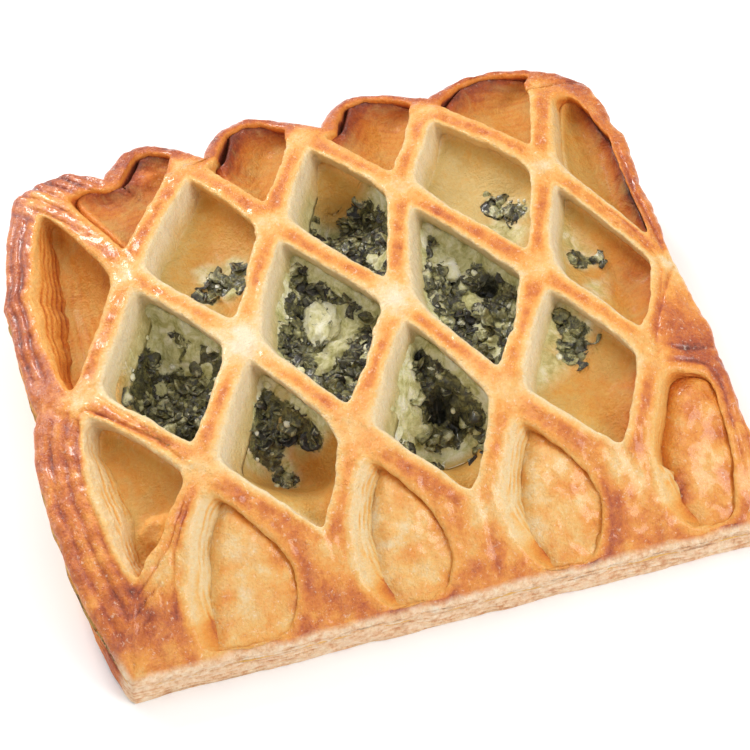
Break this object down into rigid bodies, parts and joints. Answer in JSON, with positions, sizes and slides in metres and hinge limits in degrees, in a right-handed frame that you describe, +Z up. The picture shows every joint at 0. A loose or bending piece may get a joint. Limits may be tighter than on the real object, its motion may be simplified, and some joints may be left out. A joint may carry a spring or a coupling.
{
  "type": "spinach and cheese pastry",
  "caption": "Baked puff pastry with a slit lattice lid pulled open into diamonds over a spinach and cheese filling, on a crater-shaped pastry base.",
  "frame": {"origin": "middle of the pastry's outline, at the level of its flat underside", "axes": "+X along the front edge to the pictured right, +Y to the back, +Z up"},
  "size_m": [0.1288, 0.1123, 0.0274],
  "materials": {
    "baked_base": "baked puff pastry, golden, layered at the side",
    "glazed_lattice": "egg-glazed puff pastry, golden orange with a soft sheen",
    "cooked_spinach": "wet chopped spinach, dark green",
    "soft_cheese": "soft crumbly cheese, pale yellow"
  },
  "bodies": {
    "root": {"base_crust": "baked_base", "lattice_crust": "glazed_lattice", "spinach_filling": "cooked_spinach", "cheese_lump_1": "soft_cheese", "cheese_lump_2": "soft_cheese", "cheese_lump_3": "soft_cheese", "cheese_lump_4": "soft_cheese"}
  },
  "joints": []
}
